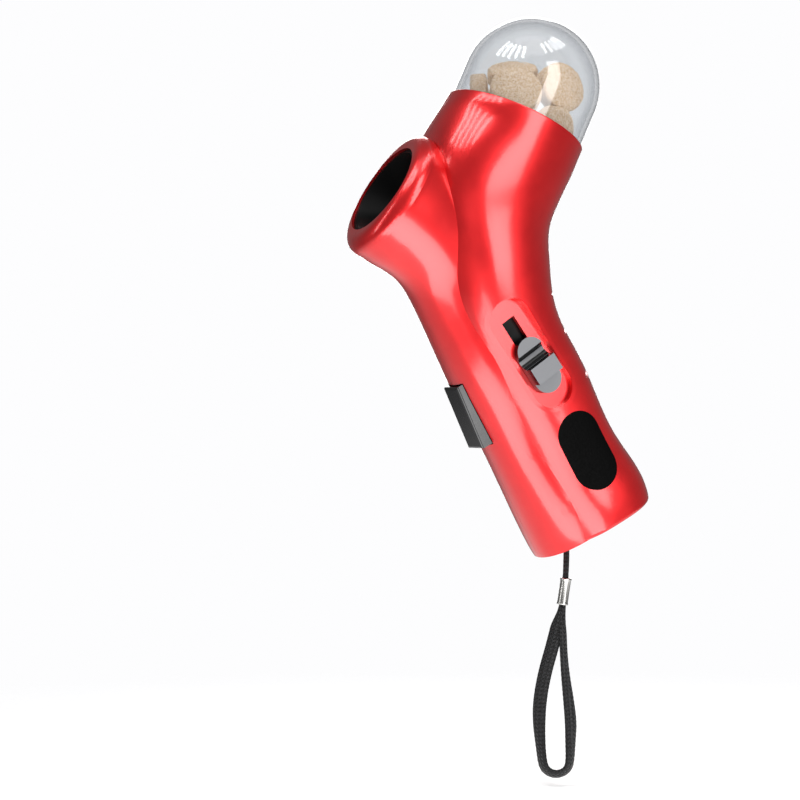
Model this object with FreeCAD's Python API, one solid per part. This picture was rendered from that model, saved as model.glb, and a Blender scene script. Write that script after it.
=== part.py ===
"""A hand-held push button treat dispenser: a two-shell moulded body shaped like a bent Y.

Frame: X-Z is the plane of symmetry, -X is the side that treats fly to, +Z is up, millimetres.
The origin is the middle of the hand grip. The handle leans forward, the treat dome leans back
and the launch barrel points up and forward out of a flared muzzle. The wrist strap hangs down.
"""
import FreeCAD
import Part

import math
import os

from FreeCAD import Rotation, Vector

# ---------------------------------------------------------------- driving dimensions, millimetres
WALL = 2.2                      # moulded shell wall
RUN_GAP = 0.3                   # air between pieces that move past each other
SEAT_GAP = 0.1                  # air between pieces that are seated together

HANDLE_LEAN = 28.9              # degrees from vertical, top forward
DOME_LEAN = 24.8                # degrees from vertical, top backward
BARREL_LEAN = 35.0              # degrees from vertical, muzzle forward
MUZZLE_TILT = 31.8              # degrees the muzzle's face normal rises above horizontal

TUBE_BACK = 4.0                 # main tube's axis behind the grip axis
TUBE_DEPTH = 19.0               # half depth of the main tube along the handle
TUBE_WIDTH = 20.0               # half width of the main tube along the handle
WAIST_DEPTH = 22.5              # half depth at the bend
WAIST_WIDTH = 22.5              # half width at the bend
COLLAR_RADIUS = 26.2            # outside of the collar that takes the dome
COLLAR_STRAIGHT = 11.0          # straight stretch below the collar's rim
BEND_RADIUS = 78.0              # radius of the main tube's bend
BEND_START = 37.3               # where the bend starts, along the handle from the grip
HANDLE_DOWN = 36.0              # handle below the grip centre

FRONT_AHEAD = 7.0               # front body's axis ahead of the grip axis
FRONT_DEPTH = 16.0              # half depth of the front body along the handle
FRONT_WIDTH = 15.5              # half width of the front body along the handle
MUZZLE_RADIUS = 24.6            # half height of the muzzle, behind its rounded lip
MUZZLE_WIDTH = 21.2             # half width of the muzzle there
MUZZLE_X = -64.9                # middle of the muzzle's face
MUZZLE_Z = 89.6
MUZZLE_STRAIGHT = 8.0           # round stretch before the front body bends
FRONT_BEND = 62.0               # radius of the front body's bend
NECK_DEPTH = 20.5               # half depth and half width where that bend ends
NECK_WIDTH = 15.4
MOUTH_WIDTH = 20.6              # half width where the muzzle's round stretch ends
FRONT_FLARE = 0.17              # how fast the collar's front flares out below its rim
FLARE_END = 24.0                # below the rim, where that flare is fullest
FLARE_FADES = 26.0              # length over which it fades out again
MUZZLE_HOLE = 17.3              # radius of the opening in the muzzle's face
LIP_ROUND = 5.0                 # rounding of the muzzle's lip
LIP_THICK = 6.0                 # how far back the lip is solid
LIP_STEP = 0.15                 # how far the muzzle is set in behind its lip

BARREL_BORE = 10.5              # bore that the plunger and a treat run in
BARREL_WALL = 1.1
BARREL_RISE = 4.1               # barrel axis above the muzzle's middle, in the muzzle's face
BARREL_TOP = 12.0               # barrel's upper end, down its axis from the muzzle's face
BARREL_END = 97.0               # barrel's lower end
LINER_INSET = 1.0               # muzzle liner's mouth behind the muzzle's face
PLUG_THICK = 3.0
RIB_AT = 92.5                   # cradle rib under the barrel's lower end
RIB_THICK = 1.6

STROKE = 16.0                   # travel of the plunger and of the side slider
PLUNGER_FACE = 62.0             # plunger's face when cocked, down the barrel axis
PLUNGER_LENGTH = 28.0
PLUNGER_HEAD = 4.0
PLUNGER_WALL = 1.5
BUMPER_THICK = 1.5              # soft face of the plunger
ROD_RADIUS = 2.5
ROD_END = 120.0                 # lower end of the plunger's tail rod
SPRING_RADIUS = 6.6             # mean radius of the launch spring
SPRING_WIRE = 1.1
SPRING_TURNS = 8

SLOT_OFFSET = 3.4               # side slot behind the barrel axis
SLIDER_AT = 83.0                # slider's middle when cocked, down the barrel axis
SLIDER_LENGTH = 22.0
SLIDER_WIDTH = 11.0
SLIDER_BASE = 1.6               # thickness of the slider's base plate
SLIDER_DISC = 2.6               # height of its round ends above the base plate
SLIDER_RIDGE = 6.4              # height of its thumb ridge above the base plate
RIDGE_LENGTH = 6.4
RIDGE_DOWN = 1.8                # ridge's middle below the slider's middle
VALLEY_RADIUS = 2.6             # hollow above the ridge
STEM_LENGTH = 6.0
STEM_WIDTH = 4.6
SLOT_WIDTH = 5.6
RECESS_TOP = 55.9               # side recess, down the barrel axis
RECESS_BOTTOM = 100.1
RECESS_WIDTH = 15.6
RECESS_FLOOR = 17.2             # recess floor's distance from the plane of symmetry
SHUTTER_THICK = 1.0             # strip behind the slot
SHUTTER_WIDTH = 9.0

COLLAR_WALL = 1.1               # collar's wall outside the dome
DOME_GAP = 0.2                  # dome to collar
DOME_RADIUS = COLLAR_RADIUS - COLLAR_WALL - DOME_GAP
DOME_WALL = 1.6
DOME_SHOWS = 39.7               # dome's height above the collar's rim
DOME_DEEP = 9.6                 # dome's skirt inside the collar
SEAL_HEIGHT = 1.3
FLANGE_TOP = 11.4               # funnel's flange below the collar's rim
FLANGE_THICK = 1.5
FUNNEL_DEEP = 36.0              # where the funnel's cone ends, below the collar's rim
FUNNEL_WALL = 1.5
THROAT_RADIUS = 10.2            # inside of the funnel's throat

BUTTON_LOW = 11.0               # push button's ends, along the handle from the grip
BUTTON_HIGH = 35.0
BUTTON_WIDTH = 12.0
BUTTON_PROUD_LOW = 3.4          # how far the button stands out of the handle at each end
BUTTON_PROUD_HIGH = 1.6
BUTTON_ROUND = 1.0
BUTTON_GAP = 0.4                # button to its window
FLANGE_LAP = 2.0                # button's flange past its window
FLANGE_PLATE = 1.2
BUTTON_SPRING_AT = 29.0         # spring's axis, along the handle from the grip
BUTTON_SPRING_RADIUS = 2.4
BUTTON_SPRING_WIRE = 0.8
BUTTON_SPRING_TURNS = 4

SEAR_PIVOT_ALONG = 2.0          # sear's pivot, along the handle from the grip
SEAR_PIVOT_BACK = -12.0
SEAR_PAD_ALONG = 9.6            # where the button pushes the sear
SEAR_WIDTH = 6.0
SEAR_ARM = 2.4                  # thickness of the sear's two arms
SEAR_HUB = 3.0
SEAR_PIN_RADIUS = 1.5
SEAR_PIN_LENGTH = 19.0
PIVOT_GAP = 0.05
SEAR_NOSE_AT = 117.5            # sear's nose, down the barrel axis
SEAR_SPRING_ALONG = -3.0
SEAR_SPRING_RADIUS = 1.9
SEAR_SPRING_TURNS = 3

PAD_LENGTH = 30.0
PAD_WIDTH = 17.0
PAD_THICK = 1.2
PAD_ALONG = -6.5                # grip pad's middle, along the handle from the grip
PAD_BACK = 4.5                  # grip pad's middle, behind the grip axis

GROOVE_COUNT = 4
GROOVE_PITCH = 17.3
GROOVE_FIRST = 52.0             # highest groove, along the handle from the grip
GROOVE_RADIUS = 0.8
GROOVE_BEND = 30.0              # radius of each groove round the handle's back
GROOVE_DROP = 14.0              # degrees each groove falls towards the front

SEAM = 0.05                     # half the parting line between the two shells
SCREW_RADIUS = 1.15
SCREW_HEAD = 2.6
SCREW_HEAD_THICK = 1.8
SCREW_SEAT = 8.0                # underside of a screw's head, from the plane of symmetry
SCREW_DEEP = 9.0                # screw's point, on the other side of that plane
HEAD_GAP = 0.2
BOSS_RADIUS = 3.0
BOSS_WALL = 1.4                 # round a screw head's counterbore

CORD_RADIUS = 1.7
CRIMP_RADIUS = 2.3
CRIMP_FROM = 16.2               # crimp's ends below the lanyard pin
CRIMP_TO = 26.0
LANYARD_X = 8.1                 # lanyard pin and the strap's hang line
LANYARD_Z = -34.2
LANYARD_RADIUS = 1.2
LANYARD_LENGTH = 13.0
POCKET_LENGTH = 9.0             # pocket round the lanyard pin
POCKET_WIDTH = 8.0
POCKET_DEEP = 5.6               # above the handle's foot

TREAT_RADIUS = 9.5
TREAT_THICK = 6.4
TREAT_ROUND = 1.4
FILL_INSIDE = 23.3              # dome's inside radius that the treats' places below are given for

LOFT_DEGREE = 3                 # smooth skins that don't wave between their sections
ALL_WIDE = 200.0                # larger than the whole object, for cutting tools


# ---------------------------------------------------------------- directions and places
def heading(degrees_from_up):
    """Unit vector in the plane of symmetry, leaning back (+X) by that angle from straight up."""
    a = math.radians(degrees_from_up)
    return Vector(math.sin(a), 0, math.cos(a))


SIDE = Vector(0, 1, 0)
UP_HANDLE = heading(-HANDLE_LEAN)
BACK_HANDLE = SIDE.cross(UP_HANDLE)
UP_DOME = heading(DOME_LEAN)
UP_BARREL = heading(-BARREL_LEAN)
BACK_BARREL = SIDE.cross(UP_BARREL)
OUT_MUZZLE = heading(MUZZLE_TILT - 90)
RISE_MUZZLE = SIDE.cross(OUT_MUZZLE)
MUZZLE = Vector(MUZZLE_X, 0, MUZZLE_Z)
BARREL_START = MUZZLE + RISE_MUZZLE * BARREL_RISE


def on_handle(along, back, side=0.0):
    """A point given along the handle, behind the grip axis and to the side."""
    return UP_HANDLE * along + BACK_HANDLE * back + SIDE * side


def on_barrel(down, back=0.0, side=0.0):
    """A point given down the barrel axis from the muzzle's face."""
    return BARREL_START - UP_BARREL * down + BACK_BARREL * back + SIDE * side


def arc_point(start, turn_from, turn_to, radius):
    """End of an arc that starts heading turn_from degrees from up and ends heading turn_to."""
    a, b = math.radians(turn_from), math.radians(turn_to)
    k = 1 if b > a else -1
    return start + Vector(k * radius * (math.cos(a) - math.cos(b)), 0,
                          k * radius * (math.sin(b) - math.sin(a)))


BEND_FOOT = on_handle(BEND_START, TUBE_BACK)
COLLAR_FOOT = arc_point(BEND_FOOT, -HANDLE_LEAN, DOME_LEAN, BEND_RADIUS)
COLLAR = COLLAR_FOOT + UP_DOME * COLLAR_STRAIGHT


def on_dome(up, back=0.0, side=0.0):
    """A point given along the dome's axis from the collar's rim."""
    return COLLAR + UP_DOME * up + SIDE.cross(UP_DOME) * back + SIDE * side


# ---------------------------------------------------------------- small makers
def cylinder(start, direction, radius, length):
    return Part.makeCylinder(radius, length, start, direction)


def ring(start, direction, outer, inner, length):
    return cylinder(start, direction, outer, length).cut(cylinder(start, direction, inner, length))


def cone(start, direction, low, high, length):
    return Part.makeCone(low, high, length, start, direction)


def block(middle, along, across, length, breadth, thick):
    """A box centred on a point: length runs along, breadth across, thick the third way."""
    third = along.cross(across)
    box = Part.makeBox(length, breadth, thick, Vector(-length / 2, -breadth / 2, -thick / 2))
    turn = FreeCAD.Matrix(along.x, across.x, third.x, middle.x,
                          along.y, across.y, third.y, middle.y,
                          along.z, across.z, third.z, middle.z, 0, 0, 0, 1)
    box.transformShape(turn, True)
    return box


def stadium(middle, along, across, length, breadth, thick):
    """A bar with round ends: centred on a point, thick along the third direction."""
    third = along.cross(across)
    r = breadth / 2
    reach = length / 2 - r
    low = middle - third * (thick / 2)
    body = block(middle, along, across, 2 * reach, breadth, thick)
    return body.fuse([cylinder(low + along * reach, third, r, thick),
                      cylinder(low - along * reach, third, r, thick)]).removeSplitter()


def section(middle, direction, depth, width, squareness=2.0, front_square=None, points=20):
    """A closed smooth superellipse across a direction that lies in the plane of symmetry."""
    back = SIDE.cross(direction)
    path = []
    for i in range(points):
        a = 2 * math.pi * (i + 0.5) / points
        c, s = math.cos(a), math.sin(a)
        power = 2 / (front_square if front_square and c < 0 else squareness)
        path.append(middle + back * (depth * math.copysign(abs(c) ** power, c))
                    + SIDE * (width * math.copysign(abs(s) ** power, s)))
    curve = Part.BSplineCurve()
    curve.interpolate(path, PeriodicFlag=True, Parameters=[i / points for i in range(points + 1)])
    return Part.Wire([curve.toShape()])


def ease(low, high, share):
    """Smooth step from low to high as share goes from 0 to 1."""
    t = min(1.0, max(0.0, share))
    return low + (high - low) * t * t * (3 - 2 * t)


def spring(start, direction, radius, wire, length, turns):
    """A round-wire compression spring whose coils stay inside its length."""
    free = length - 2 * wire
    helix = Part.makeHelix(free / turns, free, radius)
    foot = Part.Wire([Part.makeCircle(wire / 2, Vector(radius, 0, 0), Vector(0, 1, 0))])
    coil = Part.Wire(helix.Edges).makePipeShell([foot], True, True)
    coil.translate(Vector(0, 0, wire))
    coil.Placement = FreeCAD.Placement(start, Rotation(Vector(0, 0, 1), direction)).multiply(coil.Placement)
    return coil


# ---------------------------------------------------------------- the shell's two forms
TUBE_STEPS = 7                  # sections round the bend
SQUARE_HANDLE = 2.6             # how squared the handle's section is
SQUARE_SHOULDER = 3.2           # its front half beside the muzzle
SQUARE_FRONT = 2.2
SHOULDER_AT = 0.72              # share of the bend where that front half is squarest
FRONT_STEPS = 4


def tube_station(share):
    """Middle, lean, depth, width and squareness of the main tube, share of the way round its bend."""
    lean = -HANDLE_LEAN + (HANDLE_LEAN + DOME_LEAN) * share
    middle = arc_point(BEND_FOOT, -HANDLE_LEAN, lean, BEND_RADIUS)
    if share < 0.5:
        depth, width = ease(TUBE_DEPTH, WAIST_DEPTH, share * 2), ease(TUBE_WIDTH, WAIST_WIDTH, share * 2)
    else:
        depth = ease(WAIST_DEPTH, COLLAR_RADIUS, share * 2 - 1)
        width = ease(WAIST_WIDTH, COLLAR_RADIUS, share * 2 - 1)
    return middle, lean, depth, width, ease(SQUARE_HANDLE, 2.0, share * 1.6)


def front_flare(down):
    """How far the collar's front stands out at a distance below its rim."""
    return FRONT_FLARE * min(down, FLARE_END) * ease(1, 0, (down - FLARE_END) / FLARE_FADES)


def shoulder_square(share):
    """Squareness of the main tube's front half, share of the way round its bend."""
    if share < SHOULDER_AT:
        return ease(SQUARE_HANDLE, SQUARE_SHOULDER, share / SHOULDER_AT * 2 - 1)
    return ease(SQUARE_SHOULDER, 2.0, (share - SHOULDER_AT) / (1 - SHOULDER_AT))


def main_tube(inset):
    """The bent tube from the handle's foot to the collar, drawn in by inset all round."""
    rings = []
    for along in (-HANDLE_DOWN + inset, -HANDLE_DOWN * 0.4, BEND_START * 0.35, BEND_START * 0.8):
        rings.append(section(on_handle(along, TUBE_BACK), UP_HANDLE, TUBE_DEPTH - inset,
                             TUBE_WIDTH - inset, SQUARE_HANDLE))
    for i in range(1, TUBE_STEPS + 1):
        share = i / TUBE_STEPS
        middle, lean, depth, width, square = tube_station(share)
        down = COLLAR_STRAIGHT + (1 - share) * BEND_RADIUS * math.radians(HANDLE_LEAN + DOME_LEAN)
        flare = front_flare(down)
        rings.append(section(middle - SIDE.cross(heading(lean)) * (flare / 2), heading(lean),
                             depth + flare / 2 - inset, width - inset, square, shoulder_square(share)))
    for down in (COLLAR_STRAIGHT * 0.5, -inset * 2):
        flare = front_flare(max(0, down))
        rings.append(section(on_dome(-down, -flare / 2), UP_DOME, COLLAR_RADIUS + flare / 2 - inset,
                             COLLAR_RADIUS - inset))
    return Part.makeLoft(rings, True, False, False, LOFT_DEGREE)


def front_body(inset):
    """The flared muzzle that narrows into the front of the handle, drawn in by inset."""
    into, turn_to = MUZZLE_TILT - 90, -HANDLE_LEAN
    start = MUZZLE - OUT_MUZZLE * MUZZLE_STRAIGHT
    behind = LIP_STEP + inset
    rings = [section(MUZZLE - OUT_MUZZLE * (LIP_ROUND + LIP_STEP), OUT_MUZZLE, MUZZLE_RADIUS - behind,
                     MUZZLE_WIDTH - behind),
             section(start, OUT_MUZZLE, MUZZLE_RADIUS - behind, MOUTH_WIDTH - behind)]
    for i in range(1, FRONT_STEPS + 1):
        share = i / FRONT_STEPS
        lean = into + (turn_to - into) * share
        a, b = math.radians(into), math.radians(lean)
        end = start - Vector(FRONT_BEND * (math.cos(a) - math.cos(b)), 0,
                             FRONT_BEND * (math.sin(b) - math.sin(a)))
        rings.append(section(end, heading(lean), ease(MUZZLE_RADIUS, NECK_DEPTH, share) - inset,
                             MOUTH_WIDTH + (NECK_WIDTH - MOUTH_WIDTH) * share - inset,
                             ease(2.0, SQUARE_FRONT, share)))
    top, foot = end.dot(UP_HANDLE), -HANDLE_DOWN + inset
    for share in (0.2, 0.45, 0.7, 1.0):
        along = top + (foot - top) * share
        back = ease(end.dot(BACK_HANDLE), -FRONT_AHEAD, share * 2)
        rings.append(section(on_handle(along, back), UP_HANDLE, ease(NECK_DEPTH, FRONT_DEPTH, share * 2) - inset,
                             ease(NECK_WIDTH, FRONT_WIDTH, share * 1.5) - inset, SQUARE_FRONT))
    return Part.makeLoft(rings, True, False, False, LOFT_DEGREE)


def rounded(form, place, direction, radius):
    """A form with the closed edge that lies in that plane rounded off."""
    edges = [e for e in form.Edges if e.isClosed() and abs((e.CenterOfMass - place).dot(direction)) < 0.01]
    return form.makeFillet(radius, edges)


# ---------------------------------------------------------------- housing shells
def muzzle_lip():
    """Solid ring at the muzzle's face, with its outer edge rounded."""
    back = MUZZLE - OUT_MUZZLE * LIP_THICK
    outline = Part.Ellipse(back + RISE_MUZZLE * MUZZLE_RADIUS, back + SIDE * MUZZLE_WIDTH, back).toShape()
    return rounded(Part.Face(Part.Wire([outline])).extrude(OUT_MUZZLE * LIP_THICK), MUZZLE, OUT_MUZZLE, LIP_ROUND)


def outer_form():
    """Outside of the whole body, with its lip, rim and foot rounded."""
    tube = rounded(main_tube(0), COLLAR, UP_DOME, 0.5)
    tube = rounded(tube, on_handle(-HANDLE_DOWN, 0), UP_HANDLE, 1.5)
    return tube.fuse([front_body(0), muzzle_lip()])


def inner_form():
    """Hollow inside the body, with the collar's socket and the hole in the muzzle's lip."""
    deep = FLANGE_TOP + FLANGE_THICK
    socket = cylinder(on_dome(-deep), UP_DOME, DOME_RADIUS + DOME_GAP, deep * 2)
    hole = cylinder(MUZZLE - OUT_MUZZLE * LIP_THICK * 1.5, OUT_MUZZLE, MUZZLE_HOLE, LIP_THICK * 2)
    return main_tube(WALL).fuse([front_body(WALL), socket, hole])


def recess_place(out):
    """Middle of the side recess at that distance from the plane of symmetry."""
    return on_barrel((RECESS_TOP + RECESS_BOTTOM) / 2, SLOT_OFFSET, -out)


def recess_bar(low, high, grow=0.0):
    """Bar with round ends over the side recess, between two distances from the plane of symmetry."""
    return stadium(recess_place((low + high) / 2), UP_BARREL, BACK_BARREL,
                   RECESS_BOTTOM - RECESS_TOP + 2 * grow, RECESS_WIDTH + 2 * grow, high - low)


def slot_cut():
    """Slot through the recess floor and the barrel's wall, for the slider's stem."""
    low = SLIDER_AT + STEM_LENGTH / 2 + (SLOT_WIDTH - STEM_WIDTH) / 2
    high = SLIDER_AT - STROKE - STEM_LENGTH / 2 - (SLOT_WIDTH - STEM_WIDTH) / 2
    depth = TUBE_WIDTH - BARREL_BORE / 2
    return block(on_barrel((low + high) / 2, SLOT_OFFSET, -(BARREL_BORE / 2 + depth / 2)),
                 UP_BARREL, BACK_BARREL, low - high, SLOT_WIDTH, depth)


def button_block(grow, inside, outside):
    """Block over the push button's outline, between two distances ahead of the grip axis."""
    middle = on_handle((BUTTON_LOW + BUTTON_HIGH) / 2, -(inside + outside) / 2)
    return block(middle, UP_HANDLE, SIDE, BUTTON_HIGH - BUTTON_LOW + 2 * grow, BUTTON_WIDTH + 2 * grow,
                 outside - inside)


def pad_bar(side, grow=0.0):
    """Bar with round ends through one side of the handle, over the grip pad's outline."""
    middle = on_handle(PAD_ALONG, PAD_BACK, side * TUBE_WIDTH)
    return stadium(middle, UP_HANDLE, BACK_HANDLE, PAD_LENGTH + 2 * grow, PAD_WIDTH + 2 * grow, TUBE_WIDTH / 2)


def groove_rings():
    """Thin rings that cut the grooves round the back of the handle."""
    rings = []
    for i in range(GROOVE_COUNT):
        along = GROOVE_FIRST - i * GROOVE_PITCH
        past = max(0.0, along - BEND_START)
        share = past / BEND_RADIUS / math.radians(HANDLE_LEAN + DOME_LEAN)
        middle, lean, depth = tube_station(share)[:3]
        if not past:
            middle, lean, depth = on_handle(along, TUBE_BACK), -HANDLE_LEAN, TUBE_DEPTH
        back = SIDE.cross(heading(lean))
        centre = middle + back * (depth + GROOVE_RADIUS * 0.4 - GROOVE_BEND)
        axis = heading(lean - GROOVE_DROP)
        centre = centre + (back - SIDE.cross(axis)) * GROOVE_BEND
        rings.append(Part.makeTorus(GROOVE_BEND, GROOVE_RADIUS, centre, axis))
    return rings


def screw_places():
    """The five shell screws, in the plane of symmetry."""
    handle = [(-22.0, 13.5), (-22.0, -11.0), (8.0, 15.8), (34.0, 17.0)]
    return [on_handle(*place) for place in handle] + [Vector(-7.5, 0, 70.0)]


def lanyard():
    return Vector(LANYARD_X, 0, LANYARD_Z)


def lanyard_pocket(grow=0.0):
    """Pocket in the handle's foot round the lanyard pin."""
    back = lanyard().dot(BACK_HANDLE)
    deep = POCKET_DEEP + grow
    return block(on_handle(-HANDLE_DOWN + deep / 2 - 1, back), UP_HANDLE, SIDE, deep + 2,
                 POCKET_WIDTH + 2 * grow, POCKET_LENGTH + 2 * grow)


def sear_pivot():
    return on_handle(SEAR_PIVOT_ALONG, SEAR_PIVOT_BACK)


def across(place, radius, low, high):
    """Round bar across the body between two distances from the plane of symmetry."""
    return cylinder(place + SIDE * low, SIDE, radius, high - low)


def shell(side):
    """One half of the housing: -1 is the left half, +1 the right."""
    outer, inner = outer_form(), inner_form()
    body = outer.cut(inner)
    added = [lanyard_pocket(WALL / 1.5).common(outer)]
    post = across(sear_pivot(), SEAR_PIN_RADIUS + PIVOT_GAP + WALL / 1.5, 0, ALL_WIDE)
    if side < 0:
        added.append(recess_bar(RECESS_FLOOR - WALL, TUBE_WIDTH * 1.5, WALL / 1.5).common(outer))
        post = post.mirror(Vector(0, 0, 0), SIDE)
    added.append(post.common(outer).cut(block(sear_pivot(), UP_HANDLE, SIDE, ALL_WIDE, SEAR_WIDTH + 2 * RUN_GAP,
                                              ALL_WIDE)))
    slab = block(on_barrel(RIB_AT), BACK_BARREL, SIDE, ALL_WIDE, ALL_WIDE, RIB_THICK).common(inner)
    free = SHUTTER_WIDTH + 2 * RUN_GAP
    added.append(slab.cut([button_block(FLANGE_LAP + 1, 0, TUBE_DEPTH * 2),
                           block(on_barrel(RIB_AT, SLOT_OFFSET, -TUBE_WIDTH * 0.7), UP_BARREL, BACK_BARREL,
                                 WALL * 2, free, TUBE_WIDTH * 0.3)]))
    for place in screw_places():
        wide = BOSS_RADIUS if side < 0 else SCREW_HEAD + HEAD_GAP + BOSS_WALL
        added.append(across(place, wide, min(0, side * ALL_WIDE), max(0, side * ALL_WIDE)).common(outer))
    body = body.fuse(added)
    cuts = [button_block(BUTTON_GAP, TUBE_DEPTH - WALL, TUBE_DEPTH * 2), lanyard_pocket(),
            across(lanyard(), LANYARD_RADIUS + PIVOT_GAP, -LANYARD_LENGTH / 2, LANYARD_LENGTH / 2),
            across(sear_pivot(), SEAR_PIN_RADIUS + PIVOT_GAP, -SEAR_PIN_LENGTH / 2, SEAR_PIN_LENGTH / 2),
            pad_bar(side, SEAT_GAP).cut(main_tube(PAD_THICK + SEAT_GAP)),
            cylinder(on_barrel(BARREL_TOP), -UP_BARREL, BARREL_BORE + BARREL_WALL + SEAT_GAP, ROD_END)]
    cuts += groove_rings()
    if side < 0:
        cuts += [recess_bar(RECESS_FLOOR, TUBE_WIDTH * 2), slot_cut()]
    for place in screw_places():
        cuts.append(across(place, SCREW_RADIUS + PIVOT_GAP, -SCREW_DEEP - 1, TUBE_WIDTH))
        if side > 0:
            cuts.append(across(place, SCREW_HEAD + HEAD_GAP, SCREW_SEAT, ALL_WIDE))
    body = body.cut(cuts)
    half = Part.makeBox(ALL_WIDE * 2, ALL_WIDE, ALL_WIDE * 2, Vector(-ALL_WIDE, SEAM, -ALL_WIDE))
    if side < 0:
        half = half.mirror(Vector(0, 0, 0), SIDE)
    solids = sorted(body.common(half).Solids, key=lambda solid: solid.Volume)
    print("shell", side, [round(solid.Volume, 1) for solid in solids])
    return solids[-1]


def shell_screws():
    """Five screws from the right half into the left half's bosses."""
    screws = []
    for place in screw_places():
        head = across(place, SCREW_HEAD, SCREW_SEAT, SCREW_SEAT + SCREW_HEAD_THICK)
        screws.append(head.fuse(across(place, SCREW_RADIUS, -SCREW_DEEP, SCREW_SEAT)).removeSplitter())
    return Part.makeCompound(screws)


def grip_pad(side):
    """Textured rubber pad let into one side of the handle."""
    solid = pad_bar(side).common(main_tube(0)).cut(main_tube(PAD_THICK))
    return max(solid.Solids, key=lambda piece: piece.Volume)


# ---------------------------------------------------------------- treat path
def dome_axis_cut(radius):
    """Round hole along the dome's axis that ends on the barrel's axis."""
    reach = (BARREL_START - COLLAR).cross(UP_BARREL).dot(SIDE) / UP_DOME.cross(UP_BARREL).dot(SIDE)
    return cylinder(on_dome(reach), UP_DOME, radius, -reach)


def hopper_funnel():
    """Funnel from the collar's ledge down to the port in the barrel."""
    top = FLANGE_TOP + FLANGE_THICK
    high = COLLAR_RADIUS - WALL - FUNNEL_WALL / 2
    drop = FUNNEL_DEEP - FLANGE_TOP
    cone_out = cone(on_dome(-FUNNEL_DEEP), UP_DOME, THROAT_RADIUS + FUNNEL_WALL, high, drop)
    cone_in = cone(on_dome(-FUNNEL_DEEP), UP_DOME, THROAT_RADIUS, high - FUNNEL_WALL, drop)
    flange = cylinder(on_dome(-top + SEAT_GAP), UP_DOME, DOME_RADIUS, FLANGE_THICK - SEAT_GAP)
    funnel = flange.fuse([cone_out, dome_axis_cut(THROAT_RADIUS + FUNNEL_WALL).common(
        cylinder(on_dome(-FUNNEL_DEEP), -UP_DOME, ALL_WIDE, ALL_WIDE))])
    barrel = cylinder(on_barrel(0), -UP_BARREL, BARREL_BORE + BARREL_WALL + SEAT_GAP, BARREL_END)
    funnel = funnel.cut([cone_in, dome_axis_cut(THROAT_RADIUS), barrel])
    return max(funnel.Solids, key=lambda piece: piece.Volume)


def barrel_tube():
    """Launch barrel with its hopper port and its side slot."""
    tube = ring(on_barrel(BARREL_TOP), -UP_BARREL, BARREL_BORE + BARREL_WALL, BARREL_BORE, BARREL_END - BARREL_TOP)
    return tube.cut([dome_axis_cut(THROAT_RADIUS), slot_cut()])


def muzzle_liner():
    """Dark flared liner from the barrel's top to the muzzle's mouth."""
    mouth = MUZZLE - OUT_MUZZLE * LINER_INSET

    def horn(low, high, past):
        foot = Part.Wire([Part.makeCircle(low, on_barrel(BARREL_TOP - SEAT_GAP + past), UP_BARREL)])
        top = Part.Wire([Part.makeCircle(high, mouth + OUT_MUZZLE * past, OUT_MUZZLE)])
        return Part.makeLoft([foot, top], True, True)
    outer = horn(BARREL_BORE + BARREL_WALL, MUZZLE_HOLE - SEAT_GAP, 0)
    return outer.cut(horn(BARREL_BORE, MUZZLE_HOLE - SEAT_GAP - BARREL_WALL, 0.01))


def barrel_end_plug():
    """Cap that closes the barrel's lower end and guides the plunger's rod."""
    return ring(on_barrel(BARREL_END), -UP_BARREL, BARREL_BORE + BARREL_WALL, ROD_RADIUS + RUN_GAP, PLUG_THICK)


# ---------------------------------------------------------------- plunger and side slider
def plunger_piston():
    head = PLUNGER_FACE + BUMPER_THICK
    cup = cylinder(on_barrel(head), -UP_BARREL, BARREL_BORE - RUN_GAP, PLUNGER_LENGTH)
    return cup.cut(cylinder(on_barrel(head + PLUNGER_HEAD), -UP_BARREL, BARREL_BORE - RUN_GAP - PLUNGER_WALL,
                            PLUNGER_LENGTH))


def plunger_bumper():
    return cylinder(on_barrel(PLUNGER_FACE), -UP_BARREL, BARREL_BORE - RUN_GAP * 3, BUMPER_THICK)


def plunger_rod():
    top = PLUNGER_FACE + BUMPER_THICK + PLUNGER_HEAD
    return cylinder(on_barrel(top), -UP_BARREL, ROD_RADIUS, ROD_END - top)


def launch_spring():
    top = PLUNGER_FACE + BUMPER_THICK + PLUNGER_HEAD + SEAT_GAP
    return spring(on_barrel(top), -UP_BARREL, SPRING_RADIUS, SPRING_WIRE, BARREL_END - SEAT_GAP - top, SPRING_TURNS)


def slider_out():
    """Underside of the side slider, from the plane of symmetry."""
    return RECESS_FLOOR + RUN_GAP


def slider_arm():
    """Stem from the plunger through the barrel and the recess floor to the slider."""
    low = BARREL_BORE / 2
    stem = block(on_barrel(SLIDER_AT, SLOT_OFFSET, -(low + slider_out()) / 2), UP_BARREL, BACK_BARREL,
                 STEM_LENGTH, STEM_WIDTH, slider_out() - low)
    return stem.cut(cylinder(on_barrel(0), -UP_BARREL, BARREL_BORE - RUN_GAP, ROD_END))


def slot_shutter():
    """Thin strip on the stem that keeps the slot closed wherever the slider stands."""
    slot_low = SLIDER_AT + STEM_LENGTH / 2 + STROKE + STEM_WIDTH / 2
    slot_high = SLIDER_AT - STROKE - STEM_LENGTH / 2 - STEM_WIDTH / 2
    out = RECESS_FLOOR - WALL - RUN_GAP - SHUTTER_THICK / 2
    strip = block(on_barrel((slot_low + slot_high) / 2, SLOT_OFFSET, -out), UP_BARREL, BACK_BARREL,
                  slot_low - slot_high, SHUTTER_WIDTH, SHUTTER_THICK)
    return strip.cut(block(on_barrel(SLIDER_AT, SLOT_OFFSET, -out), UP_BARREL, BACK_BARREL,
                           STEM_LENGTH, STEM_WIDTH, SHUTTER_THICK * 3))


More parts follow.
